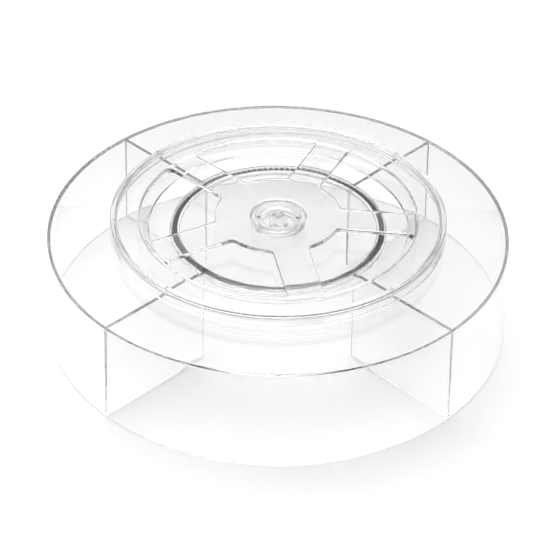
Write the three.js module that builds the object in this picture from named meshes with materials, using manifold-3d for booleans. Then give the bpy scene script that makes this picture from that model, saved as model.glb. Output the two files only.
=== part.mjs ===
// Divided turntable caddy, standing on its mouth with the turntable base on top.
// Millimetres, +Z up. The origin is the centre of the mouth, on the surface it stands on.
// A clear tray with four dividers turns on a ring of steel balls over a clear five-spoked base.
import * as THREE from "three";
import { mergeVertices } from "three/addons/utils/BufferGeometryUtils.js";
import Module from "manifold-3d";

const wasm = await Module();
wasm.setup();

// Tray
const TRAY_HEIGHT = 67.0;
const FLOOR_RADIUS = 143.2;
const MOUTH_RADIUS = 146.0;
const WALL = 1.6;
const FLOOR = 2.5;
const CORNER = 0.7;
const FLOOR_UNDERSIDE = TRAY_HEIGHT - FLOOR;

// Dividers: four ribs that taper towards the mouth
const DIVIDER_COUNT = 4;
const DIVIDER_ANGLE = 45.8;
const DIVIDER_ROOT = 2.2;
const DIVIDER_TIP = 1.5;
const DIVIDER_INNER_TOP = 64.5;
const DIVIDER_INNER_BOTTOM = 65.6;
const DIVIDER_CLEARANCE = 1.2;

// Ball bearing: one ring of balls, with every third ball given its own mesh
const BALL_RADIUS = 3.5 / 2;
const BALL_RING_RADIUS = 64.4;
const BALL_HEIGHT = 65.4;
const BALL_COUNT = 114;
const BALL_STEP = 3;

// The channel the balls lie in, and the ridge that it makes inside the tray
const CHANNEL_HALF = 1.85;
const CHANNEL_BOTTOM = 63.5;
const RIDGE_HALF = 2.9;
const RIDGE_DEPTH = 2.3;

// Race disc, which lies over the balls and turns with the base
const RUNNING_GAP = 0.3;
const RACE_INNER = 14.6;
const RACE_OUTER = 66.7;
const RACE_BOTTOM = TRAY_HEIGHT + RUNNING_GAP;
const RACE_TOP = 68.9;

// Base ring
const PLATE_TOP = 77.7;
const PLATE = 2.6;
const PLATE_BOTTOM = PLATE_TOP - PLATE;
const RIM_TOP = 78.6;
const SKIRT_BOTTOM = 68.8;
const SKIRT_RADIUS = 104.4;
const SKIRT = 3.0;
const SKIRT_FILLET = 1.8;
const RIM_WIDTH = 3.9;
const RIM_CHAMFER = 0.7;
const INNER_WALL = 2.2;
const WINDOW_OUTER = 84.6;
const INNER_WALL_FOOT = 79.9;
const INNER_WALL_BOTTOM = 68.5;

// Spokes and hub
const SPOKE_COUNT = 5;
const SPOKE_ANGLE = -78.3;
const SPOKE_WIDTH = 22.0;
const HUB_RADIUS = 39.3;
const WINDOW_CORNER = 3.0;

// Pivot: a split snap ring on the tray holds the lip of the base's collar
const COLLAR_OUTER = 16.9;
const COLLAR_INNER = 14.2;
const COLLAR_BOTTOM = RACE_TOP + RUNNING_GAP;
const LIP_RADIUS = 13.2;
const LIP = 1.9;
const SNAP_INNER = 11.0;
const SNAP_OUTER = 12.8;
const SNAP_TOP = 73.2;
const BARB_RADIUS = 13.9;
const BARB_BOTTOM = 71.5;
const SNAP_SLOTS = 4;
const SNAP_SLOT = 2.5;
const POST_RADIUS = 5.7;
const POST_TOP = 72.0;
const POST_BORE = 3.6;
const BORE_BOTTOM = 66.2;
const SPIGOT_RADIUS = 3.3;
const SPIGOT_BOTTOM = 68.5;

// How far a rib runs into the floor, and how far a cutting body passes the faces it opens
const RIB_SINK = 0.2;
const CUT_PAST = 1;

const ROUND_SEGMENTS = 72;

const radians = THREE.MathUtils.degToRad;

// A closed three.js geometry as a manifold-3d solid.
function solid(geometry) {
  const bare = geometry.clone();
  bare.deleteAttribute("normal");
  bare.deleteAttribute("uv");
  const merged = mergeVertices(bare, 1e-4);
  const corners = [];
  for (let i = 0; i < merged.index.count; i += 3) {
    const [a, b, c] = [0, 1, 2].map((k) => merged.index.getX(i + k));
    if (a !== b && b !== c && c !== a) corners.push(a, b, c);
  }
  return new wasm.Manifold(
    new wasm.Mesh({
      numProp: 3,
      vertProperties: merged.attributes.position.array,
      triVerts: new Uint32Array(corners),
    }),
  );
}

// A named mesh of a manifold-3d solid.
function mesh(name, body, material) {
  const { vertProperties, triVerts } = body.getMesh();
  const geometry = new THREE.BufferGeometry()
    .setAttribute("position", new THREE.BufferAttribute(new Float32Array(vertProperties), 3))
    .setIndex(new THREE.BufferAttribute(new Uint32Array(triVerts), 1));
  geometry.computeVertexNormals();
  const made = new THREE.Mesh(geometry, material);
  made.name = name;
  return made;
}

// A solid turned about Z from [radius, height] points, listed outwards along the underside
// and back inwards along the top.
function turned(points) {
  const outline = points.map(([r, z]) => new THREE.Vector2(r, z));
  const geometry = new THREE.LatheGeometry(outline, ROUND_SEGMENTS);
  return solid(geometry.rotateX(Math.PI / 2));
}

// One divider: a rib from the floor to just short of the mouth, let into the side wall.
function divider(angle) {
  const bottom = DIVIDER_CLEARANCE;
  const top = FLOOR_UNDERSIDE + RIB_SINK;
  const wallCentre = (z) =>
    THREE.MathUtils.lerp(MOUTH_RADIUS, FLOOR_RADIUS, z / TRAY_HEIGHT) - WALL / 2;
  const box = new THREE.BoxGeometry(1, 1, 1);
  const p = box.attributes.position;
  for (let i = 0; i < p.count; i++) {
    const upper = p.getZ(i) > 0;
    const z = upper ? top : bottom;
    const inner = upper ? DIVIDER_INNER_TOP : DIVIDER_INNER_BOTTOM;
    const width = upper ? DIVIDER_ROOT : DIVIDER_TIP;
    p.setXYZ(i, p.getX(i) > 0 ? wallCentre(z) : inner, p.getY(i) * width, z);
  }
  return solid(box.rotateZ(radians(angle)));
}

// A slot that splits the snap ring so that its fingers can flex.
function snapSlot(angle) {
  const bottom = TRAY_HEIGHT + CUT_PAST;
  const top = SNAP_TOP + CUT_PAST;
  const inner = (POST_RADIUS + SNAP_INNER) / 2;
  const outer = BARB_RADIUS + CUT_PAST;
  const box = new THREE.BoxGeometry(outer - inner, SNAP_SLOT, top - bottom);
  box.translate((inner + outer) / 2, 0, (bottom + top) / 2);
  return solid(box.rotateZ(radians(angle)));
}

// The space of the ball channel, open at the floor's outer face.
function channel() {
  const top = TRAY_HEIGHT + CUT_PAST;
  return turned([
    [BALL_RING_RADIUS - CHANNEL_HALF, top],
    [BALL_RING_RADIUS - CHANNEL_HALF, CHANNEL_BOTTOM],
    [BALL_RING_RADIUS + CHANNEL_HALF, CHANNEL_BOTTOM],
    [BALL_RING_RADIUS + CHANNEL_HALF, top],
    [BALL_RING_RADIUS - CHANNEL_HALF, top],
  ]);
}

function makeTray() {
  let body = turned([
    [0, FLOOR_UNDERSIDE],
    [BALL_RING_RADIUS - RIDGE_HALF, FLOOR_UNDERSIDE],
    [BALL_RING_RADIUS - RIDGE_HALF, FLOOR_UNDERSIDE - RIDGE_DEPTH],
    [BALL_RING_RADIUS + RIDGE_HALF, FLOOR_UNDERSIDE - RIDGE_DEPTH],
    [BALL_RING_RADIUS + RIDGE_HALF, FLOOR_UNDERSIDE],
    [FLOOR_RADIUS - WALL - 2 * CORNER, FLOOR_UNDERSIDE],
    [FLOOR_RADIUS - WALL, FLOOR_UNDERSIDE - 2 * CORNER],
    [MOUTH_RADIUS - WALL, 0],
    [MOUTH_RADIUS, 0],
    [FLOOR_RADIUS, TRAY_HEIGHT - CORNER],
    [FLOOR_RADIUS - CORNER, TRAY_HEIGHT],
    [SNAP_OUTER, TRAY_HEIGHT],
    [SNAP_OUTER, BARB_BOTTOM],
    [BARB_RADIUS, BARB_BOTTOM],
    [BARB_RADIUS, BARB_BOTTOM + CORNER],
    [SNAP_OUTER, SNAP_TOP],
    [SNAP_INNER, SNAP_TOP],
    [SNAP_INNER, TRAY_HEIGHT],
    [POST_RADIUS, TRAY_HEIGHT],
    [POST_RADIUS, POST_TOP],
    [POST_BORE, POST_TOP],
    [POST_BORE, BORE_BOTTOM],
    [0, BORE_BOTTOM],
  ]);
  for (let i = 0; i < DIVIDER_COUNT; i++)
    body = body.add(divider(DIVIDER_ANGLE + (360 / DIVIDER_COUNT) * i));
  body = body.subtract(channel());
  for (let i = 0; i < SNAP_SLOTS; i++)
    body = body.subtract(snapSlot((360 / SNAP_SLOTS) * i));
  return body;
}

// The outline of one window: between two spokes, the hub and the outer ring, with round corners.
function windowOutline() {
  const half = SPOKE_WIDTH / 2;
  const sector = Math.PI / SPOKE_COUNT;
  // Where a spoke edge, offset inwards by the corner radius, meets a circle about the hub.
  const edgeAngle = (radius) => sector - Math.asin((half + WINDOW_CORNER) / radius);
  const innerCentre = HUB_RADIUS + WINDOW_CORNER;
  const outerCentre = WINDOW_OUTER - WINDOW_CORNER;
  const inner = edgeAngle(innerCentre);
  const outer = edgeAngle(outerCentre);
  const normal = sector + Math.PI / 2;
  const at = (radius, angle) => [radius * Math.cos(angle), radius * Math.sin(angle)];
  const shape = new THREE.Shape();
  shape.absarc(0, 0, WINDOW_OUTER, -outer, outer, false);
  shape.absarc(...at(outerCentre, outer), WINDOW_CORNER, outer, normal, false);
  shape.absarc(...at(innerCentre, inner), WINDOW_CORNER, normal, inner + Math.PI, false);
  shape.absarc(0, 0, HUB_RADIUS, inner, -inner, true);
  shape.absarc(...at(innerCentre, -inner), WINDOW_CORNER, Math.PI - inner, 2 * Math.PI - normal, false);
  shape.absarc(...at(outerCentre, -outer), WINDOW_CORNER, -normal, -outer, false);
  return shape;
}

function makeBase() {
  let body = turned([
    [0, SPIGOT_BOTTOM],
    [SPIGOT_RADIUS, SPIGOT_BOTTOM],
    [SPIGOT_RADIUS, PLATE_BOTTOM],
    [COLLAR_INNER, PLATE_BOTTOM],
    [COLLAR_INNER, COLLAR_BOTTOM + LIP],
    [LIP_RADIUS, COLLAR_BOTTOM + LIP],
    [LIP_RADIUS, COLLAR_BOTTOM],
    [COLLAR_OUTER, COLLAR_BOTTOM],
    [COLLAR_OUTER, PLATE_BOTTOM],
    [WINDOW_OUTER, PLATE_BOTTOM],
    [INNER_WALL_FOOT, INNER_WALL_BOTTOM],
    [INNER_WALL_FOOT + INNER_WALL, INNER_WALL_BOTTOM],
    [WINDOW_OUTER + INNER_WALL, PLATE_BOTTOM],
    [SKIRT_RADIUS - SKIRT - SKIRT_FILLET, PLATE_BOTTOM],
    [SKIRT_RADIUS - SKIRT, PLATE_BOTTOM - SKIRT_FILLET],
    [SKIRT_RADIUS - SKIRT, SKIRT_BOTTOM],
    [SKIRT_RADIUS, SKIRT_BOTTOM],
    [SKIRT_RADIUS - RUNNING_GAP, RIM_TOP - RIM_CHAMFER],
    [SKIRT_RADIUS - RUNNING_GAP - RIM_CHAMFER, RIM_TOP],
    [SKIRT_RADIUS - RIM_WIDTH + RIM_CHAMFER, RIM_TOP],
    [SKIRT_RADIUS - RIM_WIDTH, PLATE_TOP],
    [0, PLATE_TOP],
  ]);
  const cut = new THREE.ExtrudeGeometry(windowOutline(), {
    depth: PLATE + 2 * CUT_PAST,
    bevelEnabled: false,
    curveSegments: 6,
  }).translate(0, 0, PLATE_BOTTOM - CUT_PAST);
  for (let i = 0; i < SPOKE_COUNT; i++) {
    const angle = SPOKE_ANGLE + (360 / SPOKE_COUNT) * (i + 0.5);
    body = body.subtract(solid(cut.clone().rotateZ(radians(angle))));
  }
  return body;
}

function makeRaceDisc() {
  return turned([
    [RACE_INNER, RACE_TOP],
    [RACE_INNER, RACE_BOTTOM],
    [RACE_OUTER, RACE_BOTTOM],
    [RACE_OUTER, RACE_TOP],
    [RACE_INNER, RACE_TOP],
  ]);
}

const clear = new THREE.MeshStandardMaterial({
  color: 0xf4f6f6,
  roughness: 0.05,
  metalness: 0,
  transparent: true,
  opacity: 0.3,
});
const steel = new THREE.MeshStandardMaterial({ color: 0x9a9da0, roughness: 0.15, metalness: 1 });

const caddy = new THREE.Group();
caddy.add(mesh("tray", makeTray(), clear));
caddy.add(mesh("base", makeBase(), clear));
caddy.add(mesh("race_disc", makeRaceDisc(), clear));

const bearing = new THREE.Group();
const ballShape = new THREE.IcosahedronGeometry(BALL_RADIUS, 1);
for (let i = 0; i < BALL_COUNT; i += BALL_STEP) {
  const angle = (2 * Math.PI * i) / BALL_COUNT;
  const ball = new THREE.Mesh(ballShape, steel);
  ball.name = "ball_" + String(i / BALL_STEP + 1).padStart(2, "0");
  ball.position.set(BALL_RING_RADIUS * Math.cos(angle), BALL_RING_RADIUS * Math.sin(angle), BALL_HEIGHT);
  ball.rotation.z = angle;
  bearing.add(ball);
}
caddy.add(bearing);

export default caddy;
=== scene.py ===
"""A clear divided turntable caddy, standing on its mouth.

The spoked base and its ball ring are on top.
"""

import math

import bmesh
import bpy
from mathutils import Matrix, Vector


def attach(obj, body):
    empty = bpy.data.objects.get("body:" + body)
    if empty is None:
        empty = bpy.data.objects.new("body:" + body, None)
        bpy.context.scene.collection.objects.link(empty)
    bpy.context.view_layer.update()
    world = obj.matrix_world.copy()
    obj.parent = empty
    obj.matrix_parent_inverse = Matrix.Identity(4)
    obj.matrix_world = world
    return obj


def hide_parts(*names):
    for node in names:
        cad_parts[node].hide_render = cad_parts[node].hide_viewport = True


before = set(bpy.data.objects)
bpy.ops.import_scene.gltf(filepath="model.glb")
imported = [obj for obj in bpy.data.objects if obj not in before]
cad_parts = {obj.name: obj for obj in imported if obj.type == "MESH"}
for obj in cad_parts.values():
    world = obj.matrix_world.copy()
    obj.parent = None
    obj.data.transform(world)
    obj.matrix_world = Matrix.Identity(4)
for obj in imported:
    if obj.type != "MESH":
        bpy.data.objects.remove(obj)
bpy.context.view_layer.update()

MM = 0.001

# Mesh detail: segments round the axis, degrees for each step of a round and for a crisp edge,
# and small distances in millimetres
SEGMENTS = 288
TRAY_SEGMENTS = 480
ROUND_STEP = 15
SUPPORT = 0.05
SHARP_ANGLE = 28
FLAT_FACE_WEIGHT = 80
SAME_POINT = 1e-4
CUT_PAST = 1

# Tray, in millimetres
TRAY_HEIGHT = 67.0
FLOOR_RADIUS = 143.2
MOUTH_RADIUS = 146.0
WALL = 1.6
FLOOR = 2.5
FLOOR_UNDERSIDE = TRAY_HEIGHT - FLOOR
DIVIDER_ANGLE = 45.8
DIVIDER_COUNT = 4
DIVIDER_ROOT = 2.2
DIVIDER_TIP = 1.5
DIVIDER_INNER_TOP = 64.5
DIVIDER_INNER_BOTTOM = 65.6
DIVIDER_BOTTOM = 1.2
DIVIDER_FLARE = 0.25
DIVIDER_FLARE_ARC = 60
DIVIDER_CORNER = 0.3
DIVIDER_EDGE = 0.25
DIVIDER_SINK = 0.6
DIVIDER_OVERLAP = 0.2
ALMOST_ALL = 0.999

# Ball ring, its channel in the tray and the race disc that covers it
BALL_RADIUS = 3.5 / 2
BALL_RING = 64.4
BALL_HEIGHT = 65.4
BALL_COUNT = 114
BALL_STEP = 3
BALL_SEGMENTS = (28, 18)
CHANNEL_HALF = 1.85
CHANNEL_BOTTOM = 63.5
CHANNEL_CORNER = 0.5
RIDGE_HALF = 2.9
RIDGE_DEPTH = 2.3
RACE_INNER = 14.6
RACE_OUTER = 66.7
RACE_BOTTOM = 67.3
RACE_TOP = 68.9

# Base
PLATE_TOP = 77.7
PLATE_BOTTOM = 75.1
RIM_TOP = 78.6
SKIRT_BOTTOM = 68.8
SKIRT_RADIUS = 104.4
SKIRT = 3.0
RIM_WIDTH = 3.9
INNER_WALL = 2.2
INNER_WALL_FOOT = 79.9
INNER_WALL_BOTTOM = 68.5
WINDOW_OUTER = 84.6
WINDOW_CORNER = 3.0
WINDOW_PAST = 0.6
WINDOW_STEP = 0.04
WINDOW_LIP = 0.3
SPOKE_COUNT = 5
SPOKE_ANGLE = -78.3
SPOKE_WIDTH = 22.0
HUB_RADIUS = 39.3
EDGE = 0.45

# Pivot
COLLAR_OUTER = 16.9
COLLAR_INNER = 14.2
COLLAR_BOTTOM = 69.2
LIP_RADIUS = 13.2
LIP = 1.9
SNAP_INNER = 11.0
SNAP_OUTER = 12.8
SNAP_TOP = 73.2
BARB_RADIUS = 13.9
BARB_BOTTOM = 71.5
SNAP_SLOT = 2.5
SNAP_SLOT_COUNT = 4
SNAP_WEB = 1
POST_RADIUS = 5.7
POST_TOP = 72.0
POST_BORE = 3.6
BORE_BOTTOM = 66.2
SPIGOT_RADIUS = 3.3
SPIGOT_BOTTOM = 68.5

# How fast the plastic takes up light, per metre
ABSORPTION = 4.5

# Light: the main direction, the sky brightness by closeness to it, and the lamp in watts
LIGHT_FROM = (-0.14, 0.32, 0.93)
SKY = [(0.0, 0.03), (0.6, 0.03), (0.72, 0.14), (0.89, 0.14), (0.94, 6.0), (1.0, 12.0)]
SKY_STRENGTH = 3.03
LAMP_POWER = 2
LAMP_SIZE = 1.1
LAMP_DISTANCE = 1.9
BOUNCES = 128

# White table: radius in metres, and how much it glows
TABLE_RADIUS = 2.4
TABLE_GLOW = 0.1

# Camera: focal length in picture widths, angles in degrees, shift in units of CAMERA_UNIT metres, and the
# height it aims at
CAMERA_FOCUS = 1915 / 550
CAMERA_PITCH = 36.82
CAMERA_ROLL = 0.92
CAMERA_UNIT = 0.143
CAMERA_SHIFT = (0.0136, -0.2043, 8.3439)
CAMERA_AIM = 66.3


def rounded(corners):
    """The outline through (x, y, radius) corners, each rounded to its radius.

    A point just before and after each round keeps the shading of the flats next to it even.
    """
    points = []
    count = len(corners)
    for i, (x, y, radius) in enumerate(corners):
        here = Vector((x, y))
        if radius == 0:
            points.append(here)
            continue
        before = (Vector(corners[i - 1][:2]) - here).normalized()
        after = (Vector(corners[(i + 1) % count][:2]) - here).normalized()
        half = before.angle(after) / 2
        reach = radius / math.tan(half)
        centre = here + (before + after).normalized() * (radius / math.sin(half))
        start = here + before * reach
        turn = math.pi - 2 * half
        sign = 1 if before.x * after.y - before.y * after.x < 0 else -1
        steps = max(2, math.ceil(math.degrees(turn) / ROUND_STEP))
        points.append(start + before * SUPPORT)
        for k in range(steps + 1):
            angle = sign * turn * k / steps
            points.append(centre + Matrix.Rotation(angle, 2) @ (start - centre))
        points.append(here + after * (reach + SUPPORT))
    return [(p.x, p.y) for p in points]


def turned(name, outline, closed=False, segments=SEGMENTS):
    """A mesh object turned about Z from an outline of (radius, height) points in millimetres."""
    bm = bmesh.new()
    rings = []
    for r, z in outline:
        if r < 1e-6:
            rings.append([bm.verts.new((0, 0, z * MM))])
            continue
        turn = 2 * math.pi / segments
        ring = [
            bm.verts.new((r * MM * math.cos(turn * k), r * MM * math.sin(turn * k), z * MM))
            for k in range(segments)
        ]
        rings.append(ring)
    pairs = list(zip(rings, rings[1:])) + ([(rings[-1], rings[0])] if closed else [])
    for a, b in pairs:
        for k in range(segments):
            n = (k + 1) % segments
            if len(a) == 1:
                bm.faces.new((a[0], b[k], b[n]))
            elif len(b) == 1:
                bm.faces.new((a[n], a[k], b[0]))
            else:
                bm.faces.new((a[n], a[k], b[k], b[n]))
    return finished_mesh(name, bm)


def finished_mesh(name, bm):
    """A new object from a bmesh, with all faces turned outwards."""
    bmesh.ops.recalc_face_normals(bm, faces=bm.faces)
    mesh = bpy.data.meshes.new(name)
    bm.to_mesh(mesh)
    bm.free()
    obj = bpy.data.objects.new(name, mesh)
    bpy.context.scene.collection.objects.link(obj)
    return obj


def lofted(name, loops):
    """A closed mesh object through loops of points, each with the same number of points."""
    bm = bmesh.new()
    rings = [[bm.verts.new(Vector(p) * MM) for p in loop] for loop in loops]
    count = len(rings[0])
    for a, b in zip(rings, rings[1:]):
        for k in range(count):
            n = (k + 1) % count
            bm.faces.new((a[k], a[n], b[n], b[k]))
    bm.faces.new(rings[0][::-1])
    bm.faces.new(rings[-1])
    return finished_mesh(name, bm)


def combine(body, others, operation):
    """Joins the others to the body, or cuts them out of it, and removes them."""
    for other in others:
        cut = body.modifiers.new("combine", "BOOLEAN")
        cut.operation = operation
        cut.solver = "EXACT"
        cut.object = other
    dg = bpy.context.evaluated_depsgraph_get()
    mesh = bpy.data.meshes.new_from_object(body.evaluated_get(dg))
    body.modifiers.clear()
    old = body.data
    body.data = mesh
    mesh.name = old.name
    bpy.data.meshes.remove(old)
    for other in others:
        bpy.data.meshes.remove(other.data)
    return body


def smooth(obj):
    """Smooth shading with crisp edges where faces meet at a real angle, and flat faces kept flat."""
    for face in obj.data.polygons:
        face.use_smooth = True
    obj.data.set_sharp_from_angle(angle=math.radians(SHARP_ANGLE))
    even = obj.modifiers.new("even_shading", "WEIGHTED_NORMAL")
    even.keep_sharp = True
    even.weight = FLAT_FACE_WEIGHT
    return obj


def turned_about_z(points, degrees):
    """The points, turned about the caddy's axis."""
    spin = Matrix.Rotation(math.radians(degrees), 3, "Z")
    return [spin @ Vector(p) for p in points]


def divider(angle):
    """One rib with a rounded inner end, a round lower edge and roots that flare into the floor."""
    def lerp(z, low, high):
        return low + (high - low) * (z - DIVIDER_BOTTOM) / (FLOOR_UNDERSIDE - DIVIDER_BOTTOM)

    def loop(z, extra=0.0, cut=0.0):
        """The rib's outline at one height: extra widens it, and cut draws its edges in."""
        half = lerp(z, DIVIDER_TIP, DIVIDER_ROOT) / 2 + extra - cut
        end = lerp(z, DIVIDER_INNER_BOTTOM, DIVIDER_INNER_TOP) - extra + cut
        outer = MOUTH_RADIUS + (FLOOR_RADIUS - MOUTH_RADIUS) * z / TRAY_HEIGHT - WALL * DIVIDER_SINK
        points = [(outer, half, z)]
        for side, steps in ((1, range(5)), (-1, range(4, -1, -1))):
            for k in steps:
                turn = math.pi / 8 * k
                x = end + DIVIDER_CORNER * (1 - math.sin(turn))
                points.append((x, side * (half - DIVIDER_CORNER * (1 - math.cos(turn))), z))
        points.append((outer, -half, z))
        return turned_about_z(points, angle)

    loops = []
    for k in range(4, -1, -1):
        turn = math.pi / 2 * k / 4
        rise = DIVIDER_EDGE * (1 - math.sin(turn))
        loops.append(loop(DIVIDER_BOTTOM + rise, cut=DIVIDER_EDGE * (1 - math.cos(turn)) * ALMOST_ALL))
    loops.append(loop(FLOOR_UNDERSIDE / 2))
    # The root's flare stops at an angle to the floor, and the rib then ends inside the floor.
    flare_end = math.radians(DIVIDER_FLARE_ARC)
    for k in range(5):
        turn = flare_end * k / 4
        drop = DIVIDER_FLARE * (math.sin(flare_end) - math.sin(turn))
        loops.append(loop(FLOOR_UNDERSIDE - drop, extra=DIVIDER_FLARE * (1 - math.cos(turn))))
    loops.append(loop(FLOOR_UNDERSIDE + DIVIDER_OVERLAP, extra=DIVIDER_FLARE / 2))
    return lofted("divider", loops)


def channel_cutter():
    """The space of the ball channel, with round lower corners."""
    inner, outer, past = BALL_RING - CHANNEL_HALF, BALL_RING + CHANNEL_HALF, TRAY_HEIGHT + CUT_PAST
    outline = rounded([
        (inner, past, 0),
        (inner, CHANNEL_BOTTOM, CHANNEL_CORNER),
        (outer, CHANNEL_BOTTOM, CHANNEL_CORNER),
        (outer, past, 0),
    ])
    return turned("channel", outline, closed=True)


def make_tray():
    """The tray: floor, flared wall, dividers, ball channel, post and snap ring in one moulding."""
    outline = rounded([
        (0, FLOOR_UNDERSIDE, 0),
        (BALL_RING - RIDGE_HALF, FLOOR_UNDERSIDE, 0.3),
        (BALL_RING - RIDGE_HALF, FLOOR_UNDERSIDE - RIDGE_DEPTH, 0.3),
        (BALL_RING + RIDGE_HALF, FLOOR_UNDERSIDE - RIDGE_DEPTH, 0.3),
        (BALL_RING + RIDGE_HALF, FLOOR_UNDERSIDE, 0.3),
        (FLOOR_RADIUS - WALL, FLOOR_UNDERSIDE, 0.6),
        (MOUTH_RADIUS - WALL, 0, 0.5),
        (MOUTH_RADIUS, 0, 0.5),
        (FLOOR_RADIUS, TRAY_HEIGHT, 0.2),
        (SNAP_OUTER, TRAY_HEIGHT, 0.5),
        (SNAP_OUTER, BARB_BOTTOM, 0.1),
        (BARB_RADIUS, BARB_BOTTOM, 0.15),
        (BARB_RADIUS, BARB_BOTTOM + 0.5, 0.2),
        (SNAP_OUTER, SNAP_TOP, 0.3),
        (SNAP_INNER, SNAP_TOP, 0.3),
        (SNAP_INNER, TRAY_HEIGHT, 0.6),
        (POST_RADIUS, TRAY_HEIGHT, 0.6),
        (POST_RADIUS, POST_TOP, 0.3),
        (POST_BORE, POST_TOP, 0.3),
        (POST_BORE, BORE_BOTTOM, 0.4),
        (0, BORE_BOTTOM, 0),
    ])
    tray = turned("tray_moulding", outline, segments=TRAY_SEGMENTS)
    ribs = [divider(DIVIDER_ANGLE + 360 / DIVIDER_COUNT * k) for k in range(DIVIDER_COUNT)]
    combine(tray, ribs, "UNION")
    cutters = [channel_cutter()]
    x0, x1 = (POST_RADIUS + SNAP_INNER) / 2, BARB_RADIUS + CUT_PAST
    y = SNAP_SLOT / 2
    for k in range(SNAP_SLOT_COUNT):
        loops = [
            turned_about_z([(x0, -y, z), (x1, -y, z), (x1, y, z), (x0, y, z)], 360 / SNAP_SLOT_COUNT * k)
            for z in (TRAY_HEIGHT + SNAP_WEB, SNAP_TOP + CUT_PAST)
        ]
        cutters.append(lofted("slot", loops))
    combine(tray, cutters, "DIFFERENCE")
    return smooth(tray)


def window_outline(outer, hub, half, corner, z):
    """One window at height z, centred on +X, for these radii, half spoke width and corner."""
    sector = math.pi / SPOKE_COUNT
    inner_centre = hub + corner
    outer_centre = outer - corner
    inner = sector - math.asin((half + corner) / inner_centre)
    far = sector - math.asin((half + corner) / outer_centre)
    normal = sector + math.pi / 2
    points = []

    def sweep(radius, angle, r, start, end, steps):
        """An arc of radius r about the point at this radius and angle from the caddy's axis."""
        cx, cy = radius * math.cos(angle), radius * math.sin(angle)
        for k in range(steps):
            turn = start + (end - start) * k / (steps - 1)
            points.append((cx + r * math.cos(turn), cy + r * math.sin(turn), z))

    sweep(0, 0, outer, -far, far, 33)
    sweep(outer_centre, far, corner, far, normal, 9)
    sweep(inner_centre, inner, corner, normal, inner + math.pi, 9)
    sweep(0, 0, hub, inner, -inner, 25)
    sweep(inner_centre, -inner, corner, math.pi - inner, 2 * math.pi - normal, 9)
    sweep(outer_centre, -far, corner, -normal, -far, 9)
    kept = [points[0]]
    for p in points[1:]:
        if (Vector(p) - Vector(kept[-1])).length > SAME_POINT:
            kept.append(p)
    if (Vector(kept[0]) - Vector(kept[-1])).length < SAME_POINT:
        kept.pop()
    return kept


def window_cutter(angle):
    """The space of one window through the plate, flared at both faces to round the spoke edges."""
    slope = (WINDOW_OUTER - INNER_WALL_FOOT) / (PLATE_BOTTOM - INNER_WALL_BOTTOM)
    levels = [(PLATE_BOTTOM - WINDOW_PAST, EDGE)]
    for k in range(5):
        turn = math.pi / 2 * k / 4
        levels.append((PLATE_BOTTOM + EDGE * (1 - math.cos(turn)), EDGE * (1 - math.sin(turn))))
    for k in range(5):
        turn = math.pi / 2 * k / 4
        levels.append((PLATE_TOP - EDGE + EDGE * math.sin(turn), EDGE * (1 - math.cos(turn))))
    levels.append((PLATE_TOP + WINDOW_PAST, EDGE))
    loops = []
    for z, out in levels:
        wall = INNER_WALL_FOOT + slope * (min(z, PLATE_TOP) - INNER_WALL_BOTTOM) - WINDOW_STEP
        lip = min(1.0, max(0.0, (z - (PLATE_TOP - EDGE)) / EDGE)) ** 2
        outline = window_outline(
            wall + WINDOW_LIP * lip, HUB_RADIUS - out, SPOKE_WIDTH / 2 - out, WINDOW_CORNER, z
        )
        loops.append(turned_about_z(outline, angle))
    return lofted("window", loops)


def make_base():
    """The base: skirt, foot rim, inner wall, spokes, hub, collar and spigot in one moulding."""
    outline = rounded([
        (0, SPIGOT_BOTTOM, 0),
        (SPIGOT_RADIUS, SPIGOT_BOTTOM, 0.4),
        (SPIGOT_RADIUS, PLATE_BOTTOM, 0.5),
        (COLLAR_INNER, PLATE_BOTTOM, 0.5),
        (COLLAR_INNER, COLLAR_BOTTOM + LIP, 0.3),
        (LIP_RADIUS, COLLAR_BOTTOM + LIP, 0.25),
        (LIP_RADIUS, COLLAR_BOTTOM, 0.3),
        (COLLAR_OUTER, COLLAR_BOTTOM, 0.4),
        (COLLAR_OUTER, PLATE_BOTTOM, 1.0),
        (WINDOW_OUTER, PLATE_BOTTOM, 0),
        (INNER_WALL_FOOT, INNER_WALL_BOTTOM, 0.4),
        (INNER_WALL_FOOT + INNER_WALL, INNER_WALL_BOTTOM, 0.4),
        (WINDOW_OUTER + INNER_WALL, PLATE_BOTTOM, 1.2),
        (SKIRT_RADIUS - SKIRT, PLATE_BOTTOM, 2.0),
        (SKIRT_RADIUS - SKIRT, SKIRT_BOTTOM, 0.5),
        (SKIRT_RADIUS, SKIRT_BOTTOM, 0.5),
        (SKIRT_RADIUS - 0.3, RIM_TOP, 0.8),
        (SKIRT_RADIUS - RIM_WIDTH + 0.4, RIM_TOP, 0.7),
        (SKIRT_RADIUS - RIM_WIDTH, PLATE_TOP, 0.5),
        (0, PLATE_TOP, 0),
    ])
    base = turned("base_moulding", outline)
    cutters = [window_cutter(SPOKE_ANGLE + 360 / SPOKE_COUNT * (k + 0.5)) for k in range(SPOKE_COUNT)]
    combine(base, cutters, "DIFFERENCE")
    return smooth(base)


def make_race_disc():
    """The flat clear disc that covers the balls under the base."""
    outline = rounded([
        (RACE_INNER, RACE_TOP, 0.3),
        (RACE_INNER, RACE_BOTTOM, 0.3),
        (RACE_OUTER, RACE_BOTTOM, 0.3),
        (RACE_OUTER, RACE_TOP, 0.3),
    ])
    return smooth(turned("race_disc_moulding", outline, closed=True))


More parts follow.
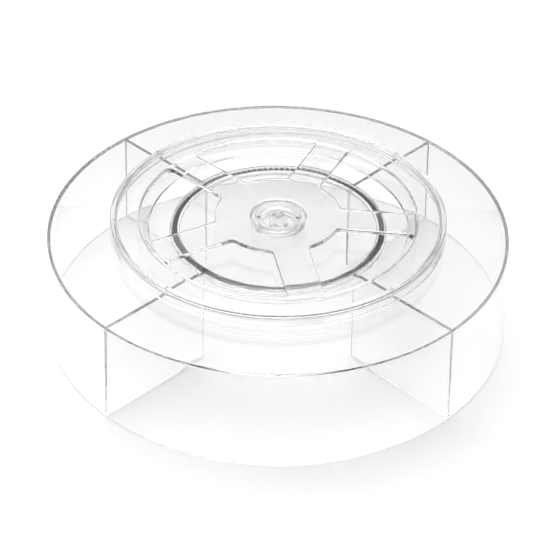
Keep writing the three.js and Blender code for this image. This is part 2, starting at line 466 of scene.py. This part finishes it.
def make_balls(material):
    """All the bearing balls: every third one stands for its CAD node."""
    bm = bmesh.new()
    u, v = BALL_SEGMENTS
    bmesh.ops.create_uvsphere(bm, u_segments=u, v_segments=v, radius=BALL_RADIUS * MM)
    shape = bpy.data.meshes.new("ball")
    bm.to_mesh(shape)
    bm.free()
    for face in shape.polygons:
        face.use_smooth = True
    shape.materials.append(material)
    for i in range(BALL_COUNT):
        angle = 2 * math.pi * i / BALL_COUNT
        ball = bpy.data.objects.new(f"bearing_ball_{i + 1:03d}", shape)
        ball.location = Vector((BALL_RING * math.cos(angle), BALL_RING * math.sin(angle), BALL_HEIGHT)) * MM
        ball.rotation_euler = (0.7 * i, 1.3 * i, angle)
        bpy.context.scene.collection.objects.link(ball)
        if i % BALL_STEP == 0:
            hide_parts(f"ball_{i // BALL_STEP + 1:02d}")
        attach(ball, "ball_train")


def clear_plastic():
    """Clear moulded plastic with faint flow waves and fine marks in its gloss.

    It takes up a little light, so that it looks grey where it is seen along its length.
    """
    material = bpy.data.materials.new("clear_plastic")
    material.use_nodes = True
    nodes, links = material.node_tree.nodes, material.node_tree.links
    shader = nodes["Principled BSDF"]
    shader.inputs["Base Color"].default_value = (0.985, 0.988, 0.988, 1)
    shader.inputs["Transmission Weight"].default_value = 1.0
    shader.inputs["IOR"].default_value = 1.49
    place = nodes.new("ShaderNodeTexCoord")
    marks = nodes.new("ShaderNodeTexNoise")
    marks.inputs["Scale"].default_value = 60
    marks.inputs["Detail"].default_value = 6
    gloss = nodes.new("ShaderNodeMapRange")
    gloss.inputs["From Min"].default_value = 0.45
    gloss.inputs["From Max"].default_value = 0.75
    gloss.inputs["To Min"].default_value = 0.0
    gloss.inputs["To Max"].default_value = 0.04
    waves = nodes.new("ShaderNodeTexNoise")
    waves.inputs["Scale"].default_value = 25
    waves.inputs["Detail"].default_value = 1
    bump = nodes.new("ShaderNodeBump")
    bump.inputs["Distance"].default_value = 0.00002
    bump.inputs["Strength"].default_value = 1.0
    links.new(place.outputs["Object"], marks.inputs["Vector"])
    links.new(place.outputs["Object"], waves.inputs["Vector"])
    links.new(marks.outputs["Fac"], gloss.inputs["Value"])
    links.new(gloss.outputs["Result"], shader.inputs["Roughness"])
    links.new(waves.outputs["Fac"], bump.inputs["Height"])
    links.new(bump.outputs["Normal"], shader.inputs["Normal"])
    depth = nodes.new("ShaderNodeVolumeAbsorption")
    depth.inputs["Color"].default_value = (0.05, 0.02, 0.0, 1)
    depth.inputs["Density"].default_value = ABSORPTION
    links.new(depth.outputs["Volume"], nodes["Material Output"].inputs["Volume"])
    return material


def ball_steel():
    """Dark bearing steel with a fine grain in its polish."""
    material = bpy.data.materials.new("ball_steel")
    material.use_nodes = True
    nodes, links = material.node_tree.nodes, material.node_tree.links
    shader = nodes["Principled BSDF"]
    shader.inputs["Metallic"].default_value = 1.0
    grain = nodes.new("ShaderNodeTexNoise")
    grain.inputs["Scale"].default_value = 900
    grain.inputs["Detail"].default_value = 4
    place = nodes.new("ShaderNodeTexCoord")
    tone = nodes.new("ShaderNodeValToRGB")
    tone.color_ramp.elements[0].color = (0.035, 0.035, 0.038, 1)
    tone.color_ramp.elements[1].color = (0.07, 0.07, 0.073, 1)
    gloss = nodes.new("ShaderNodeMapRange")
    gloss.inputs["To Min"].default_value = 0.12
    gloss.inputs["To Max"].default_value = 0.3
    links.new(place.outputs["Object"], grain.inputs["Vector"])
    links.new(grain.outputs["Fac"], tone.inputs["Fac"])
    links.new(grain.outputs["Fac"], gloss.inputs["Value"])
    links.new(tone.outputs["Color"], shader.inputs["Base Color"])
    links.new(gloss.outputs["Result"], shader.inputs["Roughness"])
    return material


def make_stage():
    """A white table that the object stands on."""
    bm = bmesh.new()
    bmesh.ops.create_circle(bm, cap_ends=True, segments=96, radius=TABLE_RADIUS)
    table = finished_mesh("table", bm)
    material = bpy.data.materials.new("table_white")
    material.use_nodes = True
    shader = material.node_tree.nodes["Principled BSDF"]
    shader.inputs["Base Color"].default_value = (0.93, 0.93, 0.93, 1)
    shader.inputs["Roughness"].default_value = 0.3
    shader.inputs["Emission Color"].default_value = (1, 1, 1, 1)
    shader.inputs["Emission Strength"].default_value = TABLE_GLOW
    table.data.materials.append(material)


def make_light():
    """A dim room under one wide soft overhead light, a little to the left of and behind the object."""
    world = bpy.data.worlds.new("studio")
    bpy.context.scene.world = world
    world.use_nodes = True
    nodes, links = world.node_tree.nodes, world.node_tree.links
    background = nodes["Background"]
    background.inputs["Strength"].default_value = SKY_STRENGTH
    place = nodes.new("ShaderNodeTexCoord")
    towards = nodes.new("ShaderNodeVectorMath")
    towards.operation = "DOT_PRODUCT"
    towards.inputs[1].default_value = Vector(LIGHT_FROM).normalized()
    ramp = nodes.new("ShaderNodeValToRGB")
    while len(ramp.color_ramp.elements) < len(SKY):
        ramp.color_ramp.elements.new(0.5)
    for element, (position, value) in zip(ramp.color_ramp.elements, SKY):
        element.position = position
        element.color = (value, value, value, 1)
    ramp.color_ramp.interpolation = "B_SPLINE"
    links.new(place.outputs["Generated"], towards.inputs[0])
    links.new(towards.outputs["Value"], ramp.inputs["Fac"])
    links.new(ramp.outputs["Color"], background.inputs["Color"])
    lamp = bpy.data.lights.new("overhead_box", "AREA")
    lamp.shape = "SQUARE"
    lamp.size = LAMP_SIZE
    lamp.energy = LAMP_POWER
    light = bpy.data.objects.new("overhead_box", lamp)
    light.location = Vector(LIGHT_FROM).normalized() * LAMP_DISTANCE
    light.rotation_euler = (-light.location).to_track_quat("-Z", "Y").to_euler()
    bpy.context.scene.collection.objects.link(light)


def make_camera():
    """The camera looks along +Y and down, as the photograph does."""
    camera = bpy.data.objects.new("camera", bpy.data.cameras.new("camera"))
    camera.data.sensor_width = 36
    camera.data.lens = 36 * CAMERA_FOCUS
    pitch, roll = math.radians(CAMERA_PITCH), math.radians(CAMERA_ROLL)
    s, c = math.sin(pitch), math.cos(pitch)
    turn = Matrix(((math.cos(roll), -math.sin(roll), 0), (math.sin(roll), math.cos(roll), 0), (0, 0, 1)))
    to_camera = turn @ Matrix(((1, 0, 0), (0, -s, -c), (0, c, -s)))
    shift = -(to_camera.transposed() @ Vector(CAMERA_SHIFT)) * CAMERA_UNIT
    place = shift + Vector((0, 0, CAMERA_AIM * MM))
    axes = Matrix((to_camera[0], -to_camera[1], -to_camera[2])).transposed()
    camera.matrix_world = Matrix.Translation(place) @ axes.to_4x4()
    camera.data.clip_start = 0.01
    bpy.context.scene.collection.objects.link(camera)
    bpy.context.scene.camera = camera


make_camera()
make_stage()
make_light()
bpy.context.scene.view_settings.view_transform = "Standard"
light_paths = bpy.context.scene.cycles
light_paths.blur_glossy = 0
light_paths.max_bounces = light_paths.transmission_bounces = light_paths.glossy_bounces = BOUNCES

plastic = clear_plastic()
tray = make_tray()
base = make_base()
race_disc = make_race_disc()
for piece, node, body in ((tray, "tray", "tray"), (base, "base", "base"), (race_disc, "race_disc", "base")):
    piece.data.materials.clear()
    piece.data.materials.append(plastic)
    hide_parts(node)
    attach(piece, body)
make_balls(ball_steel())
